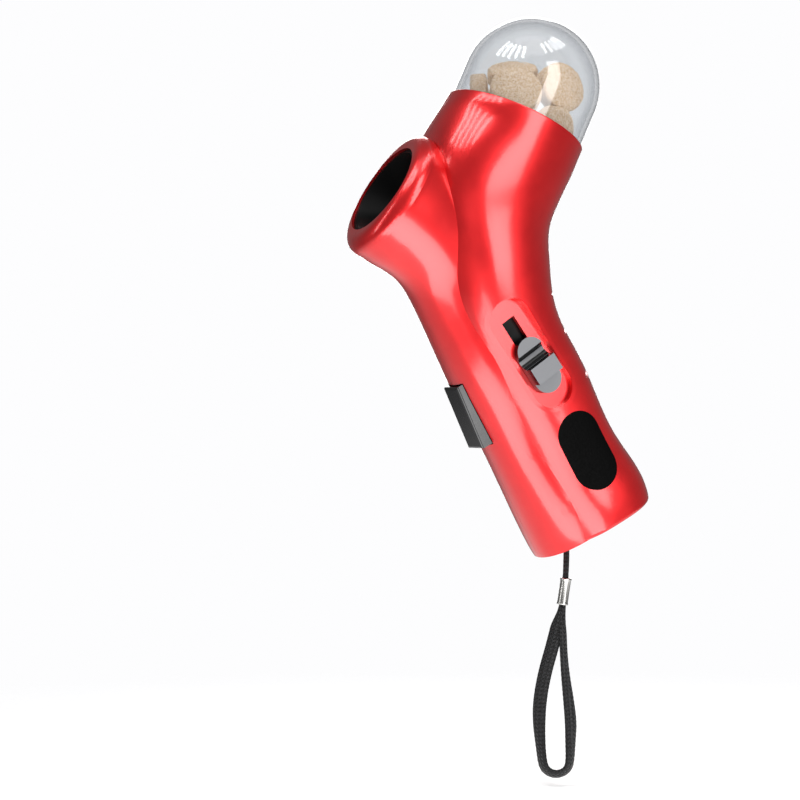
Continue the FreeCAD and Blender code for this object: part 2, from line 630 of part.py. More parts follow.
def slider_knob():
    """Thumb slider: a round-ended plate with raised ends, a hollow and a thumb ridge."""
    def bar(low, high):
        return stadium(on_barrel(SLIDER_AT, SLOT_OFFSET, -slider_out() - (low + high) / 2), UP_BARREL,
                       BACK_BARREL, SLIDER_LENGTH, SLIDER_WIDTH, high - low)

    def at(down, out):
        return on_barrel(SLIDER_AT + down, SLOT_OFFSET, -slider_out() - out)
    ridge = block(at(RIDGE_DOWN, (SLIDER_BASE + SLIDER_RIDGE) / 2), UP_BARREL, BACK_BARREL, RIDGE_LENGTH,
                  SLIDER_WIDTH, SLIDER_RIDGE - SLIDER_BASE)
    valley = at(RIDGE_DOWN - RIDGE_LENGTH / 2 - VALLEY_RADIUS, SLIDER_DISC + 0.6)
    hollow = cylinder(valley - BACK_BARREL * SLIDER_WIDTH, BACK_BARREL, VALLEY_RADIUS, SLIDER_WIDTH * 2)
    return bar(0, SLIDER_DISC).cut(hollow).fuse(ridge.common(bar(0, SLIDER_RIDGE))).removeSplitter()


# ---------------------------------------------------------------- treat dome
def treat_dome():
    """Clear dome that lifts out of the collar to be filled."""
    straight = DOME_SHOWS - DOME_RADIUS
    inside = DOME_RADIUS - DOME_WALL
    outer = cylinder(on_dome(-DOME_DEEP), UP_DOME, DOME_RADIUS, DOME_DEEP + straight)
    inner = cylinder(on_dome(-DOME_DEEP - 1), UP_DOME, inside, DOME_DEEP + straight + 1)
    outer = outer.fuse(Part.makeSphere(DOME_RADIUS, on_dome(straight), UP_DOME, 0, 90, 360))
    return outer.cut(inner.fuse(Part.makeSphere(inside, on_dome(straight), UP_DOME, 0, 90, 360)))


def dome_seal():
    """Soft ring under the dome's skirt."""
    return ring(on_dome(-DOME_DEEP), -UP_DOME, DOME_RADIUS, DOME_RADIUS - DOME_WALL, SEAL_HEIGHT)


# Each treat's middle from the middle of the collar's rim, then the heading and rise of its face.
TREAT_PLACES = ((-4.7, -10.1, 9.7, -15, 25), (3.0, 9.3, 18.1, -30, 68), (16.1, -3.5, 12.6, 10, 12),
                (-11.7, 5.0, 8.2, 64, 5), (9.0, -12.0, -4.1, 28, -8), (4.6, 15.2, 1.8, 183, 14),
                (12.9, 4.5, -6.6, 120, 10), (-6.2, 0.0, -13.1, 90, 65), (-9.0, 0.0, -19.2, 90, 65),
                (-11.8, 0.0, -25.3, 90, 65), (-14.6, 0.0, -31.4, 90, 65))


def treats():
    """Loose round biscuits: a pile that fills the dome's lower part, and a column in the funnel."""
    discs = []
    for x, y, z, turn, rise in TREAT_PLACES:
        fill = (DOME_RADIUS - DOME_WALL) / FILL_INSIDE if z > -FLANGE_TOP else 1.0
        thick = TREAT_THICK * fill
        disc = cylinder(Vector(0, 0, -thick / 2), Vector(0, 0, 1), TREAT_RADIUS * fill, thick)
        disc = disc.makeFillet(TREAT_ROUND * fill, [e for e in disc.Edges if e.isClosed()])
        face = Rotation(Vector(0, 0, 1), turn).multiply(Rotation(Vector(1, 0, 0), 90 - rise))
        disc.Placement = FreeCAD.Placement(COLLAR + Vector(x, y, z) * fill, face)
        discs.append(disc)
    return Part.makeCompound(discs)


# ---------------------------------------------------------------- push button and sear
def button_face(along):
    """Outside face of the button at that height, ahead of the grip axis."""
    share = (along - BUTTON_LOW) / (BUTTON_HIGH - BUTTON_LOW)
    return FRONT_AHEAD + FRONT_DEPTH + BUTTON_PROUD_LOW + (BUTTON_PROUD_HIGH - BUTTON_PROUD_LOW) * share


def flange_front():
    """Front of the button's flange: a running gap behind the handle's front wall."""
    return FRONT_AHEAD + FRONT_DEPTH - WALL - RUN_GAP - BUTTON_GAP


def push_button():
    """Trigger button with a flange inside the handle and a pocket for its spring."""
    back = flange_front() - FLANGE_PLATE
    outline = [on_handle(BUTTON_LOW, -back), on_handle(BUTTON_LOW, -button_face(BUTTON_LOW)),
               on_handle(BUTTON_HIGH, -button_face(BUTTON_HIGH)), on_handle(BUTTON_HIGH, -back)]
    outline = [place - SIDE * (BUTTON_WIDTH / 2) for place in outline]
    body = Part.Face(Part.makePolygon(outline + outline[:1])).extrude(SIDE * BUTTON_WIDTH)
    front = min(body.Faces, key=lambda face: face.CenterOfMass.dot(BACK_HANDLE))
    body = body.makeFillet(BUTTON_ROUND, front.Edges)
    flange = button_block(FLANGE_LAP, flange_front() - FLANGE_PLATE, flange_front())
    flange = flange.common(block(on_handle(0, 0), UP_HANDLE, SIDE, ALL_WIDE, BUTTON_WIDTH - 4, ALL_WIDE))
    pocket = cylinder(on_handle(BUTTON_SPRING_AT, 0), -BACK_HANDLE,
                      BUTTON_SPRING_RADIUS + BUTTON_SPRING_WIRE, button_face(BUTTON_SPRING_AT) - WALL)
    return body.fuse(flange).cut(pocket)


def barrel_front(along):
    """Front of the barrel at that height, ahead of the grip axis."""
    down = (BARREL_START.dot(UP_HANDLE) - along) / UP_BARREL.dot(UP_HANDLE)
    return -on_barrel(down).dot(BACK_HANDLE) + BARREL_BORE + BARREL_WALL


def button_spring():
    seat = barrel_front(BUTTON_SPRING_AT) + SEAT_GAP * 3
    return spring(on_handle(BUTTON_SPRING_AT, -seat), -BACK_HANDLE, BUTTON_SPRING_RADIUS, BUTTON_SPRING_WIRE,
                  button_face(BUTTON_SPRING_AT) - WALL - SEAT_GAP - seat, BUTTON_SPRING_TURNS)


def bar_between(start, end, thick, wide):
    """Flat bar from one point to another in the plane of symmetry."""
    run = end - start
    length = run.Length
    return block((start + end) * 0.5, run.normalize(), SIDE, length, wide, thick)


def sear_lever():
    """Rocking lever: the button pushes its top, its nose stands by the plunger's rod."""
    pivot = sear_pivot()
    top_back = -(flange_front() - FLANGE_PLATE - RUN_GAP - SEAR_ARM / 2)
    pad = on_handle(SEAR_PAD_ALONG, top_back)
    nose = on_barrel(SEAR_NOSE_AT, -(ROD_RADIUS + RUN_GAP + SEAR_ARM))
    seat = on_handle(SEAR_SPRING_ALONG, pivot.dot(BACK_HANDLE) + SEAR_ARM)
    lever = across(pivot, SEAR_HUB, -SEAR_WIDTH / 2, SEAR_WIDTH / 2)
    lever = lever.fuse([bar_between(pivot, pad, SEAR_ARM, SEAR_WIDTH),
                        across(pad, SEAR_ARM / 2, -SEAR_WIDTH / 2, SEAR_WIDTH / 2),
                        bar_between(pivot, nose, SEAR_ARM, SEAR_WIDTH),
                        across(nose, SEAR_ARM, -SEAR_WIDTH / 2, SEAR_WIDTH / 2),
                        block(seat, BACK_HANDLE, SIDE, SEAR_ARM, SEAR_WIDTH, SEAR_WIDTH)])
    return lever.cut(across(pivot, SEAR_PIN_RADIUS + PIVOT_GAP, -SEAR_WIDTH, SEAR_WIDTH)).removeSplitter()


def sear_spring():
    front = FRONT_AHEAD + FRONT_DEPTH - WALL - SEAT_GAP * 2
    start = on_handle(SEAR_SPRING_ALONG, -front)
    length = front + SEAR_PIVOT_BACK + SEAR_ARM / 2 - SEAT_GAP * 6
    return spring(start, BACK_HANDLE, SEAR_SPRING_RADIUS, BUTTON_SPRING_WIRE, length, SEAR_SPRING_TURNS)


def sear_pin():
    return across(sear_pivot(), SEAR_PIN_RADIUS, -SEAR_PIN_LENGTH / 2 + SEAT_GAP, SEAR_PIN_LENGTH / 2 - SEAT_GAP)


# ---------------------------------------------------------------- lanyard and wrist strap
def lanyard_pin():
    return across(lanyard(), LANYARD_RADIUS, -LANYARD_LENGTH / 2 + SEAT_GAP, LANYARD_LENGTH / 2 - SEAT_GAP)


STRAP_PLANE = 23.0              # degrees the hanging loop's plane is turned from X-Z

# The strap's route below the lanyard pin: across its plane, then down.
STRAP_DOWN = ((0.0, 1.4), (0.1, 14.6), (-1.8, 27.6), (-4.9, 40.3), (-8.0, 51.0), (-9.8, 61.2), (-10.0, 69.4),
              (-9.5, 76.8), (-8.7, 83.9), (-7.4, 86.3), (-5.0, 87.6), (-2.4, 87.6), (0.0, 86.3), (1.3, 83.9),
              (1.5, 75.4))
STRAP_BACK = ((1.5, 75.4), (1.65, 69.0), (0.8, 60.8), (-0.5, 50.7), (-1.2, 40.3), (-1.5, 27.9))


def strap_points(route):
    along = Vector(math.cos(math.radians(STRAP_PLANE)), -math.sin(math.radians(STRAP_PLANE)), 0)
    return [lanyard() + along * across_by - Vector(0, 0, down) for across_by, down in route]


def strap_tube(points):
    """Round tube along straight runs joined by tangent arcs; also returns the arcs' radii."""
    edges, radii, last = [], [], points[0]
    for before, corner, after in zip(points, points[1:], points[2:]):
        into, out = (corner - before).normalize(), (after - corner).normalize()
        half = into.getAngle(out) / 2
        tangent = 0.45 * min((corner - before).Length, (after - corner).Length)
        start, end = corner - into * tangent, corner + out * tangent
        radius = tangent / math.tan(half)
        bisector = (out - into).normalize()
        middle = corner + bisector * (radius / math.cos(half) - radius)
        edges += [Part.LineSegment(last, start).toShape(), Part.Arc(start, middle, end).toShape()]
        radii.append(radius)
        last = end
    edges.append(Part.LineSegment(last, points[-1]).toShape())
    path = Part.Wire(edges)
    foot = Part.Wire([Part.makeCircle(CORD_RADIUS, points[0], points[1] - points[0])])
    tube = path.makePipeShell([foot], True, True)
    print("strap", round(path.Length, 1), "volume/section", round(tube.Volume / math.pi / CORD_RADIUS ** 2, 1),
          "radii", [round(radius, 1) for radius in radii])
    return tube


def wrist_strap():
    """Strap from the lanyard pin through the crimp, round the wrist loop and back to the crimp."""
    return strap_tube(strap_points(STRAP_DOWN)).fuse(strap_tube(strap_points(STRAP_BACK)))


def strap_crimp():
    """Metal sleeve that closes the wrist loop."""
    top, foot = strap_points(STRAP_DOWN)[1:3]
    run = (foot - top).normalize()
    start = top + run * (CRIMP_FROM - STRAP_DOWN[1][1])
    return cylinder(start, run, CRIMP_RADIUS, CRIMP_TO - CRIMP_FROM)


def parts():
    """Every sub-part by its node name."""
    strap = wrist_strap()
    return {
        "shell_left": shell(-1), "shell_right": shell(1), "shell_screws": shell_screws(),
        "grip_pad_left": grip_pad(-1), "grip_pad_right": grip_pad(1),
        "hopper_funnel": hopper_funnel(), "barrel_tube": barrel_tube(), "muzzle_liner": muzzle_liner(),
        "barrel_end_plug": barrel_end_plug(), "launch_spring": launch_spring(),
        "plunger_piston": plunger_piston(), "plunger_bumper": plunger_bumper(), "plunger_rod": plunger_rod(),
        "slider_arm": slider_arm(), "slider_knob": slider_knob(), "slot_shutter": slot_shutter(),
        "treat_dome": treat_dome(), "dome_seal": dome_seal(), "treats": treats(),
        "push_button": push_button(), "button_spring": button_spring(),
        "sear_lever": sear_lever(), "sear_spring": sear_spring(), "sear_pin": sear_pin(),
        "lanyard_pin": lanyard_pin(), "wrist_strap": strap, "strap_crimp": strap_crimp().cut(strap),
    }


if __name__ == "__main__":
    os.makedirs("parts", exist_ok=True)
    for name, shape in parts().items():
        print(name, len(shape.Solids), round(shape.Volume, 1), shape.isValid())
        if shape.Solids:
            shape.exportStep("parts/" + name + ".step")
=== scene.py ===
# %% [markdown]
# # Dressing a push-button treat dispenser
# The dispenser is a bent, two-part moulded shell: a clear dome full of treats on top, a muzzle in
# front, a slider on the left side that cocks a spring, a button under the index finger, and a
# strap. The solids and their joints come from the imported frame. This lesson gives them their
# finishes and adds what is easier to model as a mesh: the treats' crumb, the braided strap, its
# crimp and the screws.

# %% Load the frame
import math

import bmesh
import bpy
from mathutils import Matrix, Vector, noise


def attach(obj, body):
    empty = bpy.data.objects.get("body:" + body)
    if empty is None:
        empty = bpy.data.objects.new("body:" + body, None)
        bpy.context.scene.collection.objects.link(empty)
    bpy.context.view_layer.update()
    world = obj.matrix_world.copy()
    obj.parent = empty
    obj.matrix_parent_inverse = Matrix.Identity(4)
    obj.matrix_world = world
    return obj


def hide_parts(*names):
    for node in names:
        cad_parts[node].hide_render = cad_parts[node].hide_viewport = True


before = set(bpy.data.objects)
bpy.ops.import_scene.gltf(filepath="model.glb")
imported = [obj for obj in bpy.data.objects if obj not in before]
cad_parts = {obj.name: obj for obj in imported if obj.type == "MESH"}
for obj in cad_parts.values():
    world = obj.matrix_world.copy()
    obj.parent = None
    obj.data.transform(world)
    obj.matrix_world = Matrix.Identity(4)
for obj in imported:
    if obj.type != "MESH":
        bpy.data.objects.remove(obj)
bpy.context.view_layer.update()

MM = 0.001

# %% [markdown]
# ## The camera
# A long lens from the left of the dispenser's nose, level with its middle, keeps the perspective
# flat. The camera's place is worked out from the width that has to be in view.

# %% Camera
LENS = 135                      # focal length and sensor width, in millimetres
SENSOR = 36
VIEW_WIDTH = 0.2909             # width in view at the dispenser's distance, in metres
VIEW_AZIMUTH = math.radians(-23)
aim = Vector((-0.0490, 0.0208, 0.01455))
towards_camera = Vector((math.sin(VIEW_AZIMUTH), -math.cos(VIEW_AZIMUTH), 0))
camera = bpy.data.objects.new("camera", bpy.data.cameras.new("camera"))
camera.data.lens = LENS
camera.data.sensor_width = SENSOR
camera.location = aim + towards_camera * (VIEW_WIDTH * LENS / SENSOR)
camera.rotation_mode = "QUATERNION"
camera.rotation_quaternion = (-towards_camera).to_track_quat("-Z", "Y")
bpy.context.scene.collection.objects.link(camera)
bpy.context.scene.camera = camera
print("camera at", [round(x, 3) for x in camera.location])

# %% [markdown]
# ## Colours, nodes and finishes
# Small helpers carry every material. One turns a hex colour into the linear values that the shader
# wants, one adds a node with its settings and links, and one opens a new finish with its
# coordinates. The others size, spread, mix and raise a pattern.

# %% Helpers for materials
def colour(code):
    """Linear colour from an sRGB hex code."""
    shares = [int(code[i:i + 2], 16) / 255 for i in (0, 2, 4)]
    return [c / 12.92 if c <= 0.04045 else ((c + 0.055) / 1.055) ** 2.4 for c in shares] + [1.0]


def add(tree, kind, inputs=None, **settings):
    """Adds a node; an input takes a value, or another node's output to link."""
    made = tree.nodes.new("ShaderNode" + kind)
    for name, value in settings.items():
        setattr(made, name, value)
    for name, value in (inputs or {}).items():
        if isinstance(value, bpy.types.NodeSocket):
            tree.links.new(value, made.inputs[name])
        else:
            made.inputs[name].default_value = value
    return made


def finish(name, base, **values):
    """Opens a finish: returns its material, tree, shader and the object's own coordinates."""
    material = bpy.data.materials.new(name)
    material.use_nodes = True
    tree = material.node_tree
    shader = tree.nodes["Principled BSDF"]
    shader.inputs["Base Color"].default_value = colour(base)
    for socket, value in values.items():
        shader.inputs[socket.replace("_", " ")].default_value = value
    return material, tree, shader, add(tree, "TexCoord").outputs["Object"]


def per_mm(size):
    """Texture scale, in cycles a metre, for a pattern of this size in millimetres."""
    return 1 / (size * MM)


def spread(tree, value, low, high, start=0.3, end=0.7):
    """Maps a texture's usual range to the range that a socket needs."""
    return add(tree, "MapRange", {"Value": value, "From Min": start, "From Max": end,
                                  "To Min": low, "To Max": high}).outputs["Result"]


def two_tone(tree, factor, first, second):
    """Mixes two colours; each is a hex code, or a node's output."""
    shades = [colour(shade) if isinstance(shade, str) else shade for shade in (first, second)]
    return add(tree, "Mix", {0: factor, 6: shades[0], 7: shades[1]}, data_type="RGBA").outputs[2]


def relief(tree, shader, height, depth, strength=1.0):
    """Raises a pattern by a depth in millimetres."""
    bump = add(tree, "Bump", {"Height": height, "Distance": depth * MM, "Strength": strength})
    tree.links.new(bump.outputs["Normal"], shader.inputs["Normal"])


print("helpers ready; mid grey is", [round(c, 3) for c in colour("808080")[:3]])

# %% [markdown]
# ## From mesh to piece
# Each new piece is built as a bmesh in metres, in the part's own frame, and then becomes an object
# at the origin.

# %% Helpers for meshes
def of_kind(geom, kind):
    """The points, edges or faces among what an operator made."""
    return [part for part in geom if isinstance(part, kind)]


def piece(name, bm, smooth=True):
    """Turns a finished bmesh into a named object at the origin."""
    mesh = bpy.data.meshes.new(name)
    bm.to_mesh(mesh)
    bm.free()
    mesh.polygons.foreach_set("use_smooth", [smooth] * len(mesh.polygons))
    made = bpy.data.objects.new(name, mesh)
    bpy.context.scene.collection.objects.link(made)
    print(name, len(mesh.polygons), "faces")
    return made


print("mesh helpers ready;", len(bpy.data.meshes), "meshes in the frame")

# %% [markdown]
# ## The strap's line
# The wrist strap is a cord that hangs from the pin in the handle's foot. Its line is one smooth
# NURBS curve through the air, so that it falls as a limp braid does. The control points are the
# route's corners, given across the hanging plane and down from the pin.

# %% The strap's line
LANYARD_PIN = Vector((8.1, 0, -34.2))
STRAP_PLANE = math.radians(23)
STRAP_ROUTE = ((0.0, 1.4), (0.1, 14.6), (-1.8, 27.6), (-4.9, 40.3), (-8.0, 51.0), (-9.8, 61.2),
               (-10.0, 69.4), (-9.5, 76.8), (-8.7, 83.9), (-7.4, 86.3), (-5.0, 87.6), (-2.4, 87.6),
               (0.0, 86.3), (1.3, 83.9), (1.5, 75.4), (1.65, 69.0), (0.8, 60.8), (-0.5, 50.7),
               (-1.2, 40.3), (-1.5, 27.9), (-1.0, 22.5))
strap_across = Vector((math.cos(STRAP_PLANE), -math.sin(STRAP_PLANE), 0))


def on_strap(across, down):
    """Point of the strap's hanging plane, in metres."""
    return (LANYARD_PIN + strap_across * across - Vector((0, 0, down))) * MM


def smooth_line(name, points, detail):
    """Points of an open NURBS spline through control points."""
    curve = bpy.data.curves.new(name, "CURVE")
    curve.dimensions = "3D"
    spline = curve.splines.new("NURBS")
    spline.points.add(len(points) - 1)
    for control, place in zip(spline.points, points):
        control.co = (*place, 1)
    spline.order_u = 3
    spline.use_endpoint_u = True
    spline.resolution_u = detail
    holder = bpy.data.objects.new(name, curve)
    bpy.context.scene.collection.objects.link(holder)
    mesh = bpy.data.meshes.new_from_object(holder)
    line = [vertex.co.copy() for vertex in mesh.vertices]
    bpy.data.objects.remove(holder)
    return line


strap_line = smooth_line("strap_route", [on_strap(*place) for place in STRAP_ROUTE], 24)
strap_length = sum((b - a).length for a, b in zip(strap_line, strap_line[1:]))
print("strap line", len(strap_line), "points,", round(strap_length / MM, 1), "mm long")

# %% [markdown]
# ## The braid's section
# A wrist strap like this is a flat tubular braid: a dozen black nylon yarns that cross at 45
# degrees. It is round in the crimp, opens out flat below it, and turns on its way, so that it
# shows its face in some places and more of its edge in others. Two functions say how wide and how
# turned it is at each place, and how high its yarns stand there.

# %% Strap section
STRAP_WIDE, STRAP_THICK = 5.3, 1.9
CORD_WIDE = 1.9                 # width where the strap runs into the crimp
YARN = 1.75                     # distance between neighbouring yarns
YARN_CROWN = 0.2                # height of a yarn's crown
RING = 32                       # points round the strap
CRIMP_TOP, CRIMP_FOOT = 16.2, 26.0
OPENING = 9                     # length over which the strap opens out from round to flat
TUCKED_END = 6.0                # length at the strap's end that runs back into the crimp
BEND_AT, BEND_REACH = 0.555, 0.17                  # the bottom bend, as shares of the length
BEND_TURN, FALLING_TURN = 32, 58                   # turns of the strap's face, in degrees
BEND_HOLD = 1.3                 # above 1, the bend's turn is reached before its middle
# The rising strand's turn goes from one angle to the other, from this share and over this one.
RISING_TURNS, RISING_FROM, RISING_OVER = (52, 26), 0.68, 0.2


def ease(start, end, share):
    """Smooth step from start to end as the share goes from 0 to 1."""
    share = min(max(share, 0), 1)
    return start + (end - start) * share * share * (3 - 2 * share)


def strap_shape(along, whole):
    """Width in millimetres and turn in radians of the strap at a distance along it."""
    opened = ease(0, 1, (along - CRIMP_FOOT + 1) / OPENING) \
        * ease(0, 1, (whole - along - TUCKED_END) / OPENING)
    share = along / whole
    bottom = 1 - min(abs(share - BEND_AT) / BEND_REACH, 1)
    hanging = FALLING_TURN if share < BEND_AT \
        else ease(*RISING_TURNS, (share - RISING_FROM) / RISING_OVER)
    width = CORD_WIDE + (STRAP_WIDE - CORD_WIDE) * opened
    return width, math.radians(ease(hanging, BEND_TURN, bottom * BEND_HOLD))


def yarn_height(around, along):
    """Crown of the braid's yarns, from 0 in the grooves to 1 on top."""
    rising, falling = (around + along) / YARN, (around - along) / YARN
    over = (math.floor(rising) + math.floor(falling)) % 2
    across, lengthwise = (rising, falling) if over else (falling, rising)
    arch = 0.55 + 0.45 * math.sin(math.pi * (lengthwise % 1))
    return math.sin(math.pi * (across % 1)) ** 0.7 * arch


print("braid", STRAP_WIDE, "x", STRAP_THICK, "mm, yarns", YARN, "mm apart")

# %% [markdown]
# ## The braided strap
# A ring of points is extruded along the line and set to the section at each step. Each yarn's
# crown is raised in the mesh itself, because the braid's scalloped edge shows against a pale
# background. An extruded ring comes back in no set order, so each new point is found by the edge
# that joins it to its old one.

# %% Strap mesh
def next_ring(bm, ring, edges):
    """Extrudes a ring's edges and gives the new points in the same order, and their edges."""
    made = bmesh.ops.extrude_edge_only(bm, edges=edges)["geom"]
    fresh = set(of_kind(made, bmesh.types.BMVert))
    edges = [edge for edge in of_kind(made, bmesh.types.BMEdge) if fresh.issuperset(edge.verts)]
    ring = [next(edge.other_vert(vert) for edge in vert.link_edges
                 if edge.other_vert(vert) in fresh) for vert in ring]
    return ring, edges


def set_ring(ring, place, run, along, whole):
    """Sets a ring's points round the line, flat as the strap is there, with its yarns raised."""
    out_of_plane = Vector((math.sin(STRAP_PLANE), math.cos(STRAP_PLANE), 0))
    in_plane = out_of_plane.cross(run).normalized()
    width, turn = strap_shape(along, whole)
    wide_way = out_of_plane * math.cos(turn) + in_plane * math.sin(turn)
    thin_way = wide_way.cross(run).normalized()
    perimeter = round(math.pi * (width + STRAP_THICK) / 2 / (2 * YARN)) * 2 * YARN
    for index, vert in enumerate(ring):
        angle = 2 * math.pi * index / RING
        flat = 1 + YARN_CROWN / width * 2 * yarn_height(perimeter * index / RING, along)
        half_thick = STRAP_THICK / 2 + YARN_CROWN * (flat - 1) * 4
        vert.co = place + (wide_way * math.cos(angle) * width / 2 * flat
                           + thin_way * math.sin(angle) * half_thick) * MM


def braid(name, line):
    """Flat braid along a line: a ring is extruded from point to point and set at each."""
    bm = bmesh.new()
    ring = bmesh.ops.create_circle(bm, segments=RING, radius=1.0)["verts"]
    edges = list(bm.edges)
    whole = sum((b - a).length for a, b in zip(line, line[1:])) / MM
    uv = bm.loops.layers.uv.new("UVMap")
    along, rings = 0.0, []
    for step, place in enumerate(line):
        if step:
            along += (place - line[step - 1]).length / MM
            ring, edges = next_ring(bm, ring, edges)
        run = (line[min(step + 1, len(line) - 1)] - line[max(step - 1, 0)]).normalized()
        set_ring(ring, place, run, along, whole)
        rings.append((list(ring), along))
    place_of = {vert: (index / RING, at) for members, at in rings
                for index, vert in enumerate(members)}
    for face in bm.faces:
        # On the last column of faces the ring starts again, so its points count on past 1.
        closing = max(place_of[loop.vert][0] for loop in face.loops) > 0.75
        for loop in face.loops:
            turned, at = place_of[loop.vert]
            loop[uv].uv = (turned + (1 if closing and turned < 0.25 else 0), at)
    for members in (rings[0][0], rings[-1][0]):
        bmesh.ops.contextual_create(bm, geom=members)
    bmesh.ops.recalc_face_normals(bm, faces=bm.faces)
    return piece(name, bm)


strap = braid("braided_strap", strap_line)
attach(strap, "housing")
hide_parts("wrist_strap")

# %% [markdown]
# ## The floor
# A pale sheet of paper catches the soft shadow. It glows a little, as on a light table, and runs
# out to white towards its edge, so that no horizon shows behind the dispenser.

# %% Floor
FLOOR_Z = -0.1265               # in metres, as are the distances that it fades over
FLOOR_GLOW = 0.3
FLOOR_FADES = (0.14, 0.5)
bm = bmesh.new()
bmesh.ops.create_circle(bm, cap_ends=True, segments=96, radius=FLOOR_FADES[1],
                        matrix=Matrix.Translation((0, 0, FLOOR_Z)))
floor = piece("studio_floor", bm)
paper, tree, shader, place = finish("matt_studio_paper", "F6F6F6", Roughness=0.9)
tooth = add(tree, "TexNoise", {"Vector": place, "Scale": per_mm(1.5), "Detail": 4.0})
relief(tree, shader, tooth.outputs["Fac"], 0.05, 0.3)
from_middle = add(tree, "VectorMath", {0: place}, operation="LENGTH").outputs["Value"]
faded = add(tree, "MapRange", {"Value": from_middle, "From Min": FLOOR_FADES[0],
                               "From Max": FLOOR_FADES[1], "To Min": 1.0, "To Max": 0.0},
            interpolation_type="SMOOTHSTEP")
tree.links.new(faded.outputs["Result"], shader.inputs["Alpha"])
shader.inputs["Emission Color"].default_value = colour("FFFFFF")
shader.inputs["Emission Strength"].default_value = FLOOR_GLOW
floor.data.materials.append(paper)

# %% [markdown]
# ## The sky
# The world is white to the camera and dim to the lacquer, so that the red between the lights
# stays deep. Rays through the clear dome count as the camera's own, or the dome would look dark.

# %% Sky
SKY_ON_OBJECT, SKY_SEEN = 0.16, 1.0
sky = bpy.data.worlds.new("studio_sky")
sky.use_nodes = True
bpy.context.scene.world = sky
backdrop = sky.node_tree.nodes["Background"]
ray = add(sky.node_tree, "LightPath").outputs
seen = add(sky.node_tree, "Math", {0: ray["Is Camera Ray"], 1: ray["Is Transmission Ray"]},
           operation="MAXIMUM").outputs["Value"]
strength = spread(sky.node_tree, seen, SKY_ON_OBJECT, SKY_SEEN, 0.0, 1.0)
sky.node_tree.links.new(strength, backdrop.inputs["Strength"])
backdrop.inputs["Color"].default_value = colour("FDFDFE")
bpy.context.scene.view_settings.view_transform = "Standard"
print("sky", SKY_ON_OBJECT, "on the dispenser,", SKY_SEEN, "behind it")

# %% [markdown]
# ## The lights
# Glossy lacquer shows mostly the shapes of the lights around it, so each light here is a plain
# area with a job. A tall box beside the left flank makes the broad shine on the body and the
# snout, and a card on the table lights the undersides. Two high windows of five panes each put
# striped reflections in the dome and on the collar. A strip lights the front edge, one box the
# back, and a large sheet of paper fills from above.

# %% Lights
LIGHTS_AIM = Vector((-0.02, 0, 0.06))


def soft_box(name, azimuth, elevation, distance, size, power):
    """Area light that faces the dispenser; azimuth 0 is in front of its left flank."""
    a, e = math.radians(azimuth), math.radians(elevation)
    back = Vector((math.sin(a) * math.cos(e), -math.cos(a) * math.cos(e), math.sin(e)))
    light = bpy.data.lights.new(name, "AREA")
    light.shape = "RECTANGLE"
    light.size, light.size_y = size
    light.energy = power
    made = bpy.data.objects.new(name, light)
    made.location = LIGHTS_AIM + back * distance
    made.rotation_mode = "QUATERNION"
    made.rotation_quaternion = (-back).to_track_quat("-Z", "Y")
    made.visible_camera = False
    bpy.context.scene.collection.objects.link(made)
    print(name, power, "W")
    return made


low_card = soft_box("low_card", -13, -32, 0.34, (0.3, 0.34), 1.5)
low_card.rotation_quaternion = (0, 1, 0, 0)          # it lies on the table, face up
soft_box("flank_box", 16, 14, 1.0, (0.36, 0.9), 6)
PANE_STEP = 15                  # degrees between neighbouring panes
for pane in range(5):
    swing = (pane - 2) * PANE_STEP
    soft_box(f"left_window_pane_{pane}", swing - 72, 55, 1.2, (0.08, 0.45), 1.1)
    soft_box(f"right_window_pane_{pane}", swing + 42, 60, 1.2, (0.06, 0.36), 0.65)
soft_box("edge_strip", -92, 12, 1.2, (0.14, 0.9), 2)
back_box = soft_box("back_box", 158, 14, 1.1, (0.45, 0.9), 4.5)
back_box.visible_transmission = False                # or the dome shows it as a white patch
soft_box("paper_box", -23, 68, 1.5, (1.0, 1.0), 3)

# %% [markdown]
# ## Pearl red lacquer
# The shell is moulded ABS under a red pearl lacquer and a clear coat. Fine mica flake in the
# colour gives it depth: it is bright where it faces the light and wine red where it turns away. A
# part-metallic base does that, the flake is a cell pattern in the colour, and the coat adds the
# sharp wet-looking reflections. Real flake is about 0.05 mm, and 0.3 mm here so that it shows.

# %% Red lacquer
lacquer, tree, shader, place = finish("pearl_red_lacquer_on_abs", "D8161A", Metallic=0.7,
                                      Roughness=0.34, IOR=1.5, Coat_Weight=1.0,
                                      Coat_Roughness=0.15)
flake = add(tree, "TexVoronoi", {"Vector": place, "Scale": per_mm(0.3)}).outputs["Distance"]
cloud = add(tree, "TexNoise", {"Vector": place, "Scale": per_mm(14), "Detail": 3.0}).outputs["Fac"]
tint = two_tone(tree, spread(tree, cloud, 0.0, 1.0), "D9161C", "E41D20")
glint = two_tone(tree, spread(tree, flake, 0.25, 0.0, 0.0, 0.25), tint, "F04038")
tree.links.new(glint, shader.inputs["Base Color"])
tree.links.new(spread(tree, cloud, 0.33, 0.39), shader.inputs["Roughness"])
print(lacquer.name)
